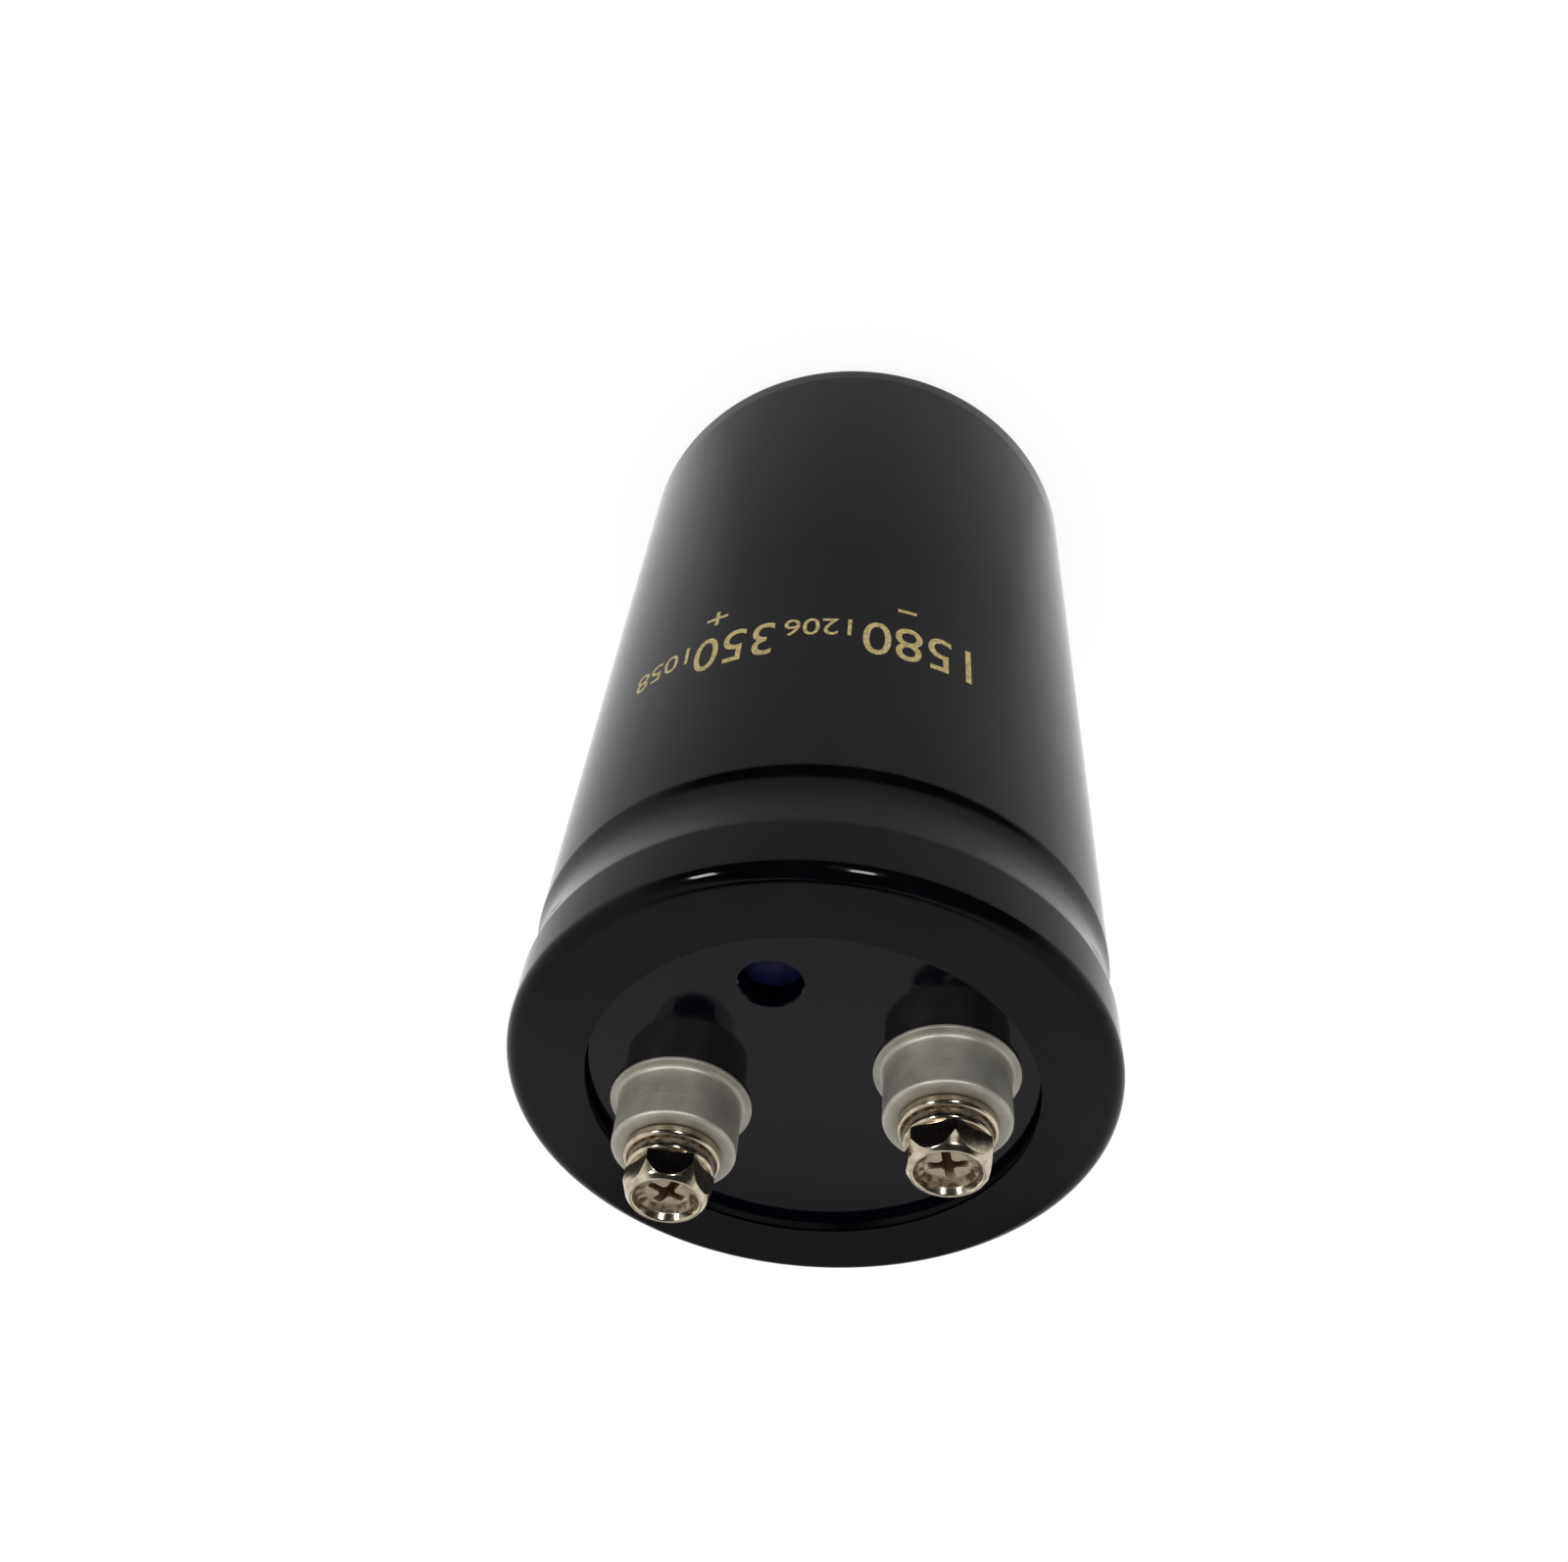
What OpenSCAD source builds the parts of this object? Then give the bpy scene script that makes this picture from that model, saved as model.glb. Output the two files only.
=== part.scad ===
// Large screw-terminal electrolytic capacitor, standing on its closed end.
// The origin is the middle of the base, +Z points to the terminals and
// +X to the positive one. All sizes are in millimetres.

/* [Body] */
// Outside diameter over the sleeve
body_d = 63.5; // [54:0.5:90]
// Height from the base to the flat ring round the deck
body_h = 108.4; // [60:0.5:220]
// Radius of the edge round the base, over the sleeve
base_edge_r = 2; // [0.8:0.1:3]

/* [Can] */
// Thickness of the drawn aluminium wall
can_wall = 0.8; // [0.5:0.05:1]
// How far the rim stands out past the straight side
rim_bulge = 0.25; // [0:0.05:0.6]
// Radius of the rim's outer edge, over the sleeve
rim_edge_r = 1.7; // [1.5:0.1:2.5]
// Distance from the flat ring down to the top of the rolled groove
rim_band = 7; // [6.6:0.1:9]
// Width of the rolled groove
groove_w = 8.8; // [6:0.1:9.5]
// Share of that width at which the groove is deepest, from below
groove_share = 0.3; // [0.25:0.05:0.5]
// Depth of the rolled groove
groove_depth = 1.6; // [1:0.1:2.2]
// Reach of the curled edge in over the seal
curl_reach = 4.6; // [3.5:0.1:5]

/* [Sleeve] */
// Thickness of the shrunk sleeve
sleeve_t = 0.35; // [0.2:0.05:0.6]
// How far the sleeve sinks where it spans the groove
sleeve_dip = 0.55; // [0:0.05:0.8]
// Width of the hem that lies under the base
hem_w = 5; // [2:0.5:10]
// Width of the flat ring, from the rim's outside to the recess
ring_w = 8.4; // [7.6:0.1:9]

/* [Deck and seal] */
// Depth of the deck below the flat ring
recess_h = 1.35; // [1:0.05:2]
// Depth of the deck's spigot below its shoulder
spigot_h = 2.4; // [1:0.1:4]
// Thickness of the rubber under the curled edge
seal_t = 2.6; // [1.5:0.1:3.2]
// Width of the rubber lip that lies on the deck
lip_w = 1.6; // [0.8:0.1:2]
// How far the sleeve's edge stands in past the rubber lip
sleeve_overhang = 0.3; // [0:0.05:0.6]

/* [Vent] */
// Diameter of the vent hole
vent_d = 6.4; // [4:0.1:8]
// Distance of the vent from the edge of the recess
vent_inset = 7.6; // [5:0.1:8]
// Width of the bevel round the mouth of the vent hole
vent_bevel = 0.15; // [0.1:0.05:0.4]
// Depth of the plug's face below the deck
plug_drop = 2.2; // [0.5:0.1:2.6]
// Thickness of the plug's head
plug_t = 1.8; // [1:0.1:2.5]
// Diameter of the plug's stem and of the gas hole round it
plug_stem_d = 3.4; // [2:0.1:3.6]
// Rise of the plug's domed face
plug_dome = 0.35; // [0.1:0.05:0.6]

/* [Terminals] */
// Distance of each terminal from the edge of the recess
terminal_inset = 9.3; // [8.9:0.1:9.9]
// Diameter of the flange that lies on the deck
flange_d = 15.3; // [13.6:0.1:17]
// Thickness of the flange
flange_t = 0.8; // [0.6:0.1:1.5]
// Radius of the cove between the flange and the collar
collar_cove = 0.75; // [0.2:0.05:0.75]
// Diameter of the collar
collar_d = 13; // [12:0.1:13.4]
// Height of the collar's top above the deck
collar_h = 6.5; // [5:0.1:10]
// Width of the rounding on the collar's top edge
collar_edge = 0.45; // [0.2:0.05:0.8]
// Diameter of the stem that passes through the deck
stem_d = 10; // [8:0.1:11]
// Width and depth of the locking grooves round the stem
stem_groove = 0.8; // [0.4:0.1:1.2]
// Depth of the threaded hole
thread_depth = 9.5; // [8.5:0.1:11]

/* [Screws and washers] */
// Nominal diameter of the screw
screw_d = 5; // [4:0.5:5.5]
// Length of the screw under its head
screw_len = 10; // [8:0.5:10.5]
// Distance across the flats of the head
head_af = 8; // [7:0.1:9]
// Height of the head
head_h = 3.3; // [3:0.1:4.5]
// Height of the head's corners before they round off
corner_h = 1.3; // [0.8:0.1:2]
// Width of the raised rim round the head's dished top
head_rim = 0.5; // [0.3:0.05:0.8]
// Depth of the dish in the head
dish_h = 0.5; // [0.2:0.05:0.8]
// Tip-to-tip span of the cross recess
cross_span = 4.4; // [3.4:0.1:4.8]
// Width of each arm of the cross
cross_w = 1; // [0.7:0.05:1.3]
// Depth of the cross below the top of the head
cross_h = 2.1; // [1.5:0.1:2.6]
// Outside diameter of the flat washer
flat_d = 10; // [9.6:0.1:11]
// Thickness of the flat washer
flat_t = 1.2; // [0.6:0.1:1.4]
// Outside diameter of the spring washer
spring_d = 8.9; // [8.4:0.1:9.4]
// Thickness of the spring washer
spring_t = 1.3; // [0.8:0.1:1.6]
// Width of the spring washer's split
split_w = 0.6; // [0.3:0.05:1]
// Lean of the split from upright, in degrees
split_lean = 30; // [0:1:40]
// Turn of the positive screw's head, in degrees
positive_turn = 40; // [0:1:60]
// Turn of the negative screw's head, in degrees
negative_turn = 10; // [0:1:60]
// Turn of the cross against the head of the positive screw, in degrees
positive_cross = 2; // [-45:1:45]
// Turn of the cross against the head of the negative screw, in degrees
negative_cross = -14; // [-45:1:45]

/* [Fits] */
// Gap round pieces that are pressed or moulded in
fit_gap = 0.05; // [0.02:0.01:0.1]
// Gap between the screw and its threaded hole
thread_gap = 0.05; // [0.02:0.01:0.1]
// Gap between the screw and its washers
washer_gap = 0.15; // [0.1:0.01:0.3]

/* [Hidden] */

$fn = 96;
// Steps in a rounded edge and in the groove
edge_steps = 8;
groove_steps = 24;
// Lets a cut pass clean through a face
over = 0.1;

// Radii of the sleeve's outside and of the can under it
body_r = body_d / 2;
rim_r = body_r + rim_bulge;
can_r = body_r - sleeve_t;
can_rim_r = rim_r - sleeve_t;
pocket_r = can_rim_r - can_wall;
curl_r = can_rim_r - curl_reach;
ring_r = rim_r - ring_w;
lip_r = ring_r + sleeve_overhang;
rebate_r = lip_r + lip_w;
bead_r = can_r - groove_depth - can_wall;
terminal_x = ring_r - terminal_inset;
vent_y = ring_r - vent_inset;

// Heights, from the base up
can_z = sleeve_t;
can_top = body_h - sleeve_t;
groove_top = body_h - rim_band;
groove_bottom = groove_top - groove_w;
shoulder_z = groove_top + can_wall / 2;
seat_z = shoulder_z - spigot_h;
deck_z = body_h - recess_h;
curl_under = can_top - can_wall;
seal_z = curl_under - seal_t;
collar_z = deck_z + collar_h;
spring_z = collar_z + flat_t;
head_z = spring_z + spring_t;

// Sizes round the screw
screw_r = screw_d / 2;
washer_hole_r = screw_r + washer_gap;
head_corner_r = head_af / 2 / cos(30);
plug_z = deck_z - plug_drop;
plug_seat_z = plug_z - plug_t;

// Points on an arc round a centre, from one angle to another
function arc(centre_r, centre_z, radius, start, end) = [
    for (i = [0 : edge_steps])
        let (a = start + (end - start) * i / edge_steps)
            [centre_r + radius * cos(a), centre_z + radius * sin(a)]
];

// Depth of the groove as a share of its greatest, at the share t of its width. It is
// an uneven bowl: steep on the side away from the rim and slow on the rim's side.
function bowl(t) =
    let (v = t < groove_share ? 1 - t / groove_share : (t - groove_share) / (1 - groove_share))
        pow(max(0, 1 - v * v), 1.2);

// One face of the groove: it starts at r0, ends at r1 and sinks by depth between
function groove(r0, r1, depth) = [
    for (i = [0 : groove_steps])
        let (t = i / groove_steps)
            [r0 + (r1 - r0) * t - depth * bowl(t), groove_bottom + groove_w * t]
];

// Outside of the can or of the sleeve, up from under the base to the flat top.
// side_r and top_r are its radii below and above the groove, z0 and z1 its
// lowest and highest points, and depth is how far its groove goes in.
function shell_side(side_r, top_r, z0, z1, base_edge, rim_edge, depth) = concat(
    arc(side_r - base_edge, z0 + base_edge, base_edge, -90, 0),
    groove(side_r, top_r, depth),
    arc(top_r - rim_edge, z1 - rim_edge, rim_edge, 0, 90)
);

function reversed(points) = [for (i = [len(points) - 1 : -1 : 0]) points[i]];

// Drawn can, solid with the wound element in it. Its edge is curled over the seal.
module can() {
    curl_edge = rim_edge_r - sleeve_t - can_wall;
    color("#c4c6c8")
    rotate_extrude()
    polygon(concat(
        [[0, can_z]],
        shell_side(can_r, can_rim_r, can_z, can_top,
            base_edge_r - sleeve_t, rim_edge_r - sleeve_t, groove_depth),
        arc(curl_r + can_wall / 2, can_top - can_wall / 2, can_wall / 2, 90, 270),
        arc(pocket_r - curl_edge, curl_under - curl_edge, curl_edge, 90, 0),
        [
            [pocket_r, shoulder_z],
            [bead_r, shoulder_z],
            [bead_r, seat_z],
            [0, seat_z]
        ]
    ));
}

// Shrunk sleeve: it wraps the side, spans the groove and folds over both ends.
module sleeve() {
    outside = shell_side(body_r, rim_r, 0, body_h, base_edge_r, rim_edge_r, sleeve_dip);
    inside = shell_side(can_r, can_rim_r, can_z, can_top,
        base_edge_r - sleeve_t, rim_edge_r - sleeve_t, sleeve_dip);
    color("#1b1b1d")
    rotate_extrude()
    polygon(concat(
        [[body_r - base_edge_r - hem_w, 0]],
        outside,
        [[ring_r, body_h], [ring_r, can_top]],
        reversed(inside),
        [[body_r - base_edge_r - hem_w, can_z]]
    ));
}

// Moulded deck with a spigot below, a rebate for the seal and three holes.
module deck() {
    color("#262629")
    difference() {
        rotate_extrude()
        polygon([
            [0, seat_z],
            [bead_r - fit_gap, seat_z],
            [bead_r - fit_gap, shoulder_z],
            [pocket_r - fit_gap, shoulder_z],
            [pocket_r - fit_gap, seal_z],
            [rebate_r, seal_z],
            [rebate_r, deck_z],
            [0, deck_z]
        ]);
        for (side = [-1, 1])
            translate([side * terminal_x, 0, seat_z - over])
            cylinder(r = stem_d / 2 + fit_gap, h = deck_z - seat_z + 2 * over);
        translate([0, -vent_y, plug_seat_z])
        cylinder(d = vent_d, h = deck_z - plug_seat_z + over);
        translate([0, -vent_y, deck_z - vent_bevel])
        cylinder(d1 = vent_d, d2 = vent_d + 4 * vent_bevel, h = 2 * vent_bevel);
        translate([0, -vent_y, seat_z - over])
        cylinder(r = plug_stem_d / 2 + fit_gap, h = deck_z - seat_z);
    }
}

// Rubber ring in the deck's rebate, with a lip on the deck inside the curled edge.
module seal_ring() {
    outer_r = pocket_r - fit_gap;
    corner = rim_edge_r - sleeve_t - can_wall;
    color("#101012")
    rotate_extrude()
    polygon(concat(
        [
            [lip_r, deck_z],
            [rebate_r + fit_gap, deck_z],
            [rebate_r + fit_gap, seal_z],
            [outer_r, seal_z]
        ],
        arc(outer_r - corner, curl_under - corner, corner, 0, 90),
        [
            [curl_r - fit_gap, curl_under],
            [curl_r - fit_gap, can_top],
            [lip_r, can_top]
        ]
    ));
}

// Rubber plug of the pressure vent: a domed head on the hole's step and a stem.
module vent_plug() {
    head_r = vent_d / 2 - fit_gap;
    dome_r = (head_r * head_r + plug_dome * plug_dome) / (2 * plug_dome);
    translate([0, -vent_y, 0])
    color("#14152e") {
        translate([0, 0, plug_seat_z])
        intersection() {
            cylinder(r = head_r, h = plug_t);
            translate([0, 0, plug_t - dome_r])
            sphere(r = dome_r);
        }
        translate([0, 0, seat_z])
        cylinder(r = plug_stem_d / 2, h = plug_seat_z - seat_z + over);
    }
}

// Turned aluminium terminal: flange, collar, grooved stem and threaded hole.
module terminal() {
    collar_r = collar_d / 2;
    flange_r = flange_d / 2;
    stem_r = stem_d / 2;
    stem_bottom = seat_z - deck_z;
    lip = flange_t / 2;
    cove = max(0.05, min(collar_cove, flange_r - lip - collar_r));
    color("#a9a9a4")
    translate([0, 0, deck_z])
    difference() {
        rotate_extrude()
        polygon(concat(
            [
                [0, stem_bottom],
                [stem_r, stem_bottom]
            ],
            [for (i = [0 : 1])
                let (z = stem_bottom * (2 - i) / 3 - stem_groove / 2)
                    each [
                        [stem_r, z],
                        [stem_r - stem_groove, z + stem_groove / 4],
                        [stem_r - stem_groove, z + stem_groove * 3 / 4],
                        [stem_r, z + stem_groove]
                    ]
            ],
            [[stem_r, 0]],
            arc(flange_r - lip, flange_t - lip, lip, -90, 90),
            arc(collar_r + cove, flange_t + cove, cove, 270, 180),
            arc(collar_r - collar_edge, collar_h - collar_edge, collar_edge, 0, 90),
            [[0, collar_h]]
        ));
        translate([0, 0, collar_h - thread_depth])
        cylinder(r = screw_r + thread_gap, h = thread_depth + over);
    }
}

// Flat washer with its edges slightly rolled by the punch.
module flat_washer() {
    edge = flat_t / 4;
    color("#d3cbbb")
    translate([0, 0, collar_z])
    rotate_extrude()
    polygon(concat(
        [[washer_hole_r, 0], [flat_d / 2 - edge, 0]],
        arc(flat_d / 2 - edge, edge, edge, -90, 0),
        arc(flat_d / 2 - edge, flat_t - edge, edge, 0, 90),
        [[washer_hole_r, flat_t]]
    ));
}

// Split spring washer, pressed flat by the screw, with a leaning cut.
module spring_washer() {
    color("#d3cbbb")
    translate([0, 0, spring_z])
    difference() {
        cylinder(d = spring_d, h = spring_t);
        translate([0, 0, -over])
        cylinder(r = washer_hole_r, h = spring_t + 2 * over);
        rotate([0, 0, 60])
        translate([spring_d / 2, 0, spring_t / 2])
        rotate([split_lean, 0, 0])
        cube([spring_d, split_w, 3 * spring_t], center = true);
    }
}

// Cross recess: two slots that taper down inside a cone.
module cross_recess() {
    tip_r = cross_w / 2;
    intersection() {
        translate([0, 0, -cross_h])
        cylinder(r1 = tip_r, r2 = cross_span / 2, h = cross_h);
        union() {
            for (a = [0, 90])
                rotate([0, 0, a])
                translate([0, 0, -cross_h / 2])
                cube([cross_span, cross_w, cross_h], center = true);
            translate([0, 0, -cross_h])
            cylinder(r1 = tip_r, r2 = cross_w, h = cross_h);
        }
    }
}

// Cold-formed screw: hexagon head with rounded corners, dished top and cross recess.
module terminal_screw(turn, cross_turn) {
    shoulder_r = head_af / 2 + head_rim / 2;
    face_r = head_af / 2 - head_rim / 3;
    dish_r = face_r - head_rim * 2 / 3;
    corner_slope = (head_h - head_rim - corner_h) / (head_corner_r - shoulder_r);
    color("#d8cfc0")
    translate([0, 0, head_z]) {
        difference() {
            intersection() {
                rotate([0, 0, turn])
                cylinder(r = head_corner_r, h = head_h, $fn = 6);
                rotate_extrude()
                polygon([
                    [0, 0],
                    [head_corner_r + over, 0],
                    [head_corner_r + over, corner_h - over * corner_slope],
                    [shoulder_r, head_h - head_rim],
                    [face_r, head_h],
                    [0, head_h]
                ]);
            }
            translate([0, 0, head_h - dish_h])
            cylinder(r1 = dish_r - dish_h, r2 = dish_r + over, h = dish_h + over);
            translate([0, 0, head_h - dish_h])
            rotate([0, 0, turn + cross_turn])
            cross_recess();
        }
        translate([0, 0, -screw_len])
        cylinder(r = screw_r, h = screw_len + over);
    }
}

// Places a piece on the positive (+1) or negative (-1) terminal
module at_terminal(side) {
    translate([side * terminal_x, 0, 0])
    children();
}

module terminal_positive() { at_terminal(1) terminal(); }
module terminal_negative() { at_terminal(-1) terminal(); }
module flat_washer_positive() { at_terminal(1) flat_washer(); }
module flat_washer_negative() { at_terminal(-1) flat_washer(); }
module spring_washer_positive() { at_terminal(1) spring_washer(); }
module spring_washer_negative() { at_terminal(-1) spring_washer(); }
module terminal_screw_positive() {
    at_terminal(1) terminal_screw(positive_turn, positive_cross);
}
module terminal_screw_negative() {
    at_terminal(-1) terminal_screw(negative_turn, negative_cross);
}

can();
sleeve();
deck();
seal_ring();
vent_plug();
terminal_positive();
terminal_negative();
flat_washer_positive();
flat_washer_negative();
spring_washer_positive();
spring_washer_negative();
terminal_screw_positive();
terminal_screw_negative();
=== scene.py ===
import bmesh
import bpy
import numpy as np
from mathutils import Matrix


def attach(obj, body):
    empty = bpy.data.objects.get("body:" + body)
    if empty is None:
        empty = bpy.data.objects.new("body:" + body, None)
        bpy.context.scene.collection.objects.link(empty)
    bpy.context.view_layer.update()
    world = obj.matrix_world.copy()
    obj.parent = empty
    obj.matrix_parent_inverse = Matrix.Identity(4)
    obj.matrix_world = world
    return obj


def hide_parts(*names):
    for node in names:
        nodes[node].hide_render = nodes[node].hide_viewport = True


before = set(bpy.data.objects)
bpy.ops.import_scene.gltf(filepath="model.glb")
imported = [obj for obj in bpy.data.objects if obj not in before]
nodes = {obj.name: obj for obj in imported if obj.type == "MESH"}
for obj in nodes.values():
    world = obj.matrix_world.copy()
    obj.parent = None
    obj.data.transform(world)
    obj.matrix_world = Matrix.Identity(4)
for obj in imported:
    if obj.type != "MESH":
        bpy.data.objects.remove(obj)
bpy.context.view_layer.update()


# The can: a deep-drawn aluminium cup with the wound element sealed in it, rolled in
# below the deck and curled over the seal. The sleeve leaves only its base in sight.
def linear(code):
    """Linear RGBA of an sRGB hex colour: v / 12.92 for a dark channel, and otherwise
    (v + 0.055) / 1.055 raised to 2.4."""
    v = np.array([int(code[i:i + 2], 16) for i in (1, 3, 5)]) / 255
    return (*np.where(v <= 0.04045, v / 12.92, ((v + 0.055) / 1.055) ** 2.4), 1.0)


def blank(name):
    """A material with an empty node tree, and that tree."""
    made = bpy.data.materials.new(name)
    made.use_nodes = True
    made.node_tree.nodes.clear()
    return made, made.node_tree


def add(tree, kind, inputs=None, **settings):
    """Adds a node with its settings. Each input takes a value, or a link from a socket."""
    node = tree.nodes.new("ShaderNode" + kind)
    for name, value in settings.items():
        setattr(node, name, value)
    for name, value in (inputs or {}).items():
        if isinstance(value, bpy.types.NodeSocket):
            tree.links.new(value, node.inputs[name])
        else:
            node.inputs[name].default_value = value
    return node


def paint(piece, material):
    """The piece wears this one material."""
    piece.data.materials.clear()
    piece.data.materials.append(material)


# Drawn aluminium: dull and pale, with fine lines up the side where the punch pulled it.
drawn_aluminium, tree = blank("drawn_aluminium")
spot = add(tree, "TexCoord").outputs["Object"]
# A noise has Scale features per metre, so 2500 gives draw lines 0.4 mm wide. The mapping
# makes them 8 mm long.
stretched = add(tree, "Mapping", {"Vector": spot, "Scale": (1.0, 1.0, 0.05)})
line = add(tree, "TexNoise", {"Vector": stretched.outputs[0], "Scale": 2500, "Detail": 3})
dull = add(tree, "MapRange", {"Value": line.outputs[0], "To Min": 0.3, "To Max": 0.48})
relief = add(tree, "Bump", {"Height": line.outputs[0], "Strength": 0.15, "Distance": 2e-5})
metal = add(tree, "BsdfPrincipled", {
    "Base Color": linear("#c4c6c8"), "Metallic": 1.0,
    "Roughness": dull.outputs[0], "Normal": relief.outputs[0]})
add(tree, "OutputMaterial", {"Surface": metal.outputs[0]})
paint(nodes["can"], drawn_aluminium)


# The deck and its seal: a disc of black phenolic, compression moulded with the two
# terminals in it, and a rubber ring that the curled edge of the can squeezes on it.
# Phenolic: near black, with the shine of a polished mould and a faint mottle of filler.
moulded_phenolic, tree = blank("moulded_phenolic")
spot = add(tree, "TexCoord").outputs["Object"]
# Filler mottle about 0.5 mm across, and slow hollows of the mould about 6 mm across
mottle = add(tree, "TexNoise", {"Vector": spot, "Scale": 2000, "Detail": 2})
hollow = add(tree, "TexNoise", {"Vector": spot, "Scale": 160, "Detail": 1})
shade = add(tree, "ValToRGB", {"Fac": mottle.outputs[0]})
shade.color_ramp.elements[0].position = 0.35
shade.color_ramp.elements[0].color = linear("#030208")
shade.color_ramp.elements[1].position = 0.75
shade.color_ramp.elements[1].color = linear("#05040c")
gloss = add(tree, "MapRange", {"Value": mottle.outputs[0], "To Min": 0.05, "To Max": 0.12})
wave = add(tree, "Bump", {"Height": hollow.outputs[0], "Strength": 0.4, "Distance": 2e-5})
grain = add(tree, "Bump", {
    "Height": mottle.outputs[0], "Strength": 0.12, "Distance": 4e-6, "Normal": wave.outputs[0]})
plastic = add(tree, "BsdfPrincipled", {
    "Base Color": shade.outputs[0], "Roughness": gloss.outputs[0], "IOR": 1.25,
    "Normal": grain.outputs[0]})
add(tree, "OutputMaterial", {"Surface": plastic.outputs[0]})
paint(nodes["deck"], moulded_phenolic)

# Seal rubber: matt black, with a skin as fine as the blasted mould it came from.
seal_rubber, tree = blank("moulded_seal_rubber")
spot = add(tree, "TexCoord").outputs["Object"]
# Grain of the mould about 0.2 mm across
pores = add(tree, "TexNoise", {"Vector": spot, "Scale": 5000, "Detail": 2})
matt = add(tree, "MapRange", {"Value": pores.outputs[0], "To Min": 0.55, "To Max": 0.75})
skin_relief = add(tree, "Bump", {"Height": pores.outputs[0], "Strength": 0.3, "Distance": 1e-5})
rubber = add(tree, "BsdfPrincipled", {
    "Base Color": linear("#040405"), "Roughness": matt.outputs[0], "IOR": 1.3,
    "Normal": skin_relief.outputs[0]})
add(tree, "OutputMaterial", {"Surface": rubber.outputs[0]})
paint(nodes["seal_ring"], seal_rubber)


# The vent plug: a blue-black rubber plug pressed into the stepped hole of the deck.
# Its head is slightly domed and lies below the deck, and its stem fills the gas hole.
def fillet(corners, radii, steps=5):
    """Rounds the corners of a path of (r, z) points, in mm. Each inner corner becomes the
    conic through points on both its sides, weighted by the cosine of half its turn, which
    is a true arc. A point just outside each end of the arc holds the flats flat."""
    path = np.asarray(corners, float)
    here, back, on = path[..., 1:-1, :], path[..., :-2, :], path[..., 2:, :]
    to_back, to_on = back - here, on - here
    len_back = np.maximum(np.linalg.norm(to_back, axis=-1, keepdims=True), 1e-9)
    len_on = np.maximum(np.linalg.norm(to_on, axis=-1, keepdims=True), 1e-9)
    cos_turn = -np.sum(to_back * to_on, -1, keepdims=True) / (len_back * len_on)
    half_cos = np.sqrt(np.clip((1 + cos_turn) / 2, 1e-6, 1))
    half_tan = np.sqrt(np.clip((1 - cos_turn) / 2, 0, 1)) / half_cos
    reach = np.broadcast_to(radii, here.shape[-2])[:, None] * half_tan
    reach = np.minimum(reach, 0.45 * np.minimum(len_back, len_on))
    start, end = here + to_back / len_back * reach, here + to_on / len_on * reach
    hold = np.minimum(0.15 * reach + 0.004, 0.04 * np.minimum(len_back, len_on))
    before, after = start + to_back / len_back * hold, end + to_on / len_on * hold
    t = np.linspace(0, 1, steps + 1)[:, None]
    a, b, c = (1 - t) ** 2, 2 * t * (1 - t) * half_cos[..., None, :], t ** 2
    arc = (a * start[..., None, :] + b * here[..., None, :] + c * end[..., None, :]) / (a + b + c)
    arc = np.concatenate([before[..., None, :], arc, after[..., None, :]], axis=-2)
    arc = arc.reshape(*path.shape[:-2], -1, 2)
    return np.concatenate([path[..., :1, :], arc, path[..., -1:, :]], axis=-2)


def turned(profile, x=0.0, y=0.0, steps=160):
    """Grid of points of a turned piece: the point (r, z) of the profile goes round the
    upright axis at (x, y), so at the angle a it is (x + r cos a, y + r sin a, z)."""
    a = np.linspace(0, 2 * np.pi, steps, endpoint=False)
    r, z = profile[:, :1], profile[:, 1:]
    return np.stack([x + r * np.cos(a), y + r * np.sin(a), z + 0 * a], axis=-1)


def cover(name, points, loop=False, crease=35):
    """A mesh over a grid of points in mm, whose rows run round the piece. Each cell is a
    face, the last column joins the first, and with loop the last row joins the first.
    Its UV map holds the share of the turn and the length along the profile in metres."""
    rows, columns = points.shape[:2]
    index = np.arange(rows * columns).reshape(rows, columns)
    step = np.linalg.norm(np.diff(points, axis=0, append=points[:1]), axis=-1).max(axis=1)
    v = np.concatenate([[0], np.cumsum(step)]) / 1000
    if loop:
        index = np.vstack([index, index[:1]])
    index = np.hstack([index, index[:, :1]])
    cell = [index[:-1, :-1], index[:-1, 1:], index[1:, 1:], index[1:, :-1]]
    faces = np.stack(cell, axis=-1).reshape(-1, 4)
    i, j = np.meshgrid(np.arange(len(index) - 1), np.arange(columns), indexing="ij")
    share = np.stack([j, j + 1, j + 1, j], axis=-1) / columns
    length = np.stack([v[i], v[i], v[i + 1], v[i + 1]], axis=-1)
    mesh = bpy.data.meshes.new(name)
    mesh.from_pydata((points.reshape(-1, 3) / 1000).tolist(), [], faces.tolist())
    uv = mesh.uv_layers.new(name="along")
    uv.data.foreach_set("uv", np.stack([share, length], axis=-1).astype(np.float32).ravel())
    shell = bmesh.new()
    shell.from_mesh(mesh)
    bmesh.ops.remove_doubles(shell, verts=shell.verts, dist=5e-7)
    bmesh.ops.dissolve_degenerate(shell, edges=shell.edges, dist=1e-7)
    bmesh.ops.recalc_face_normals(shell, faces=shell.faces)
    shell.to_mesh(mesh)
    shell.free()
    mesh.shade_smooth()
    mesh.set_sharp_from_angle(angle=np.radians(crease))
    piece = bpy.data.objects.new(name, mesh)
    bpy.context.scene.collection.objects.link(piece)
    return piece


def fit(piece, material, node):
    """The piece wears the material and stands for a CAD node on the one rigid body."""
    paint(piece, material)
    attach(piece, "root")
    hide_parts(node)


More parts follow.
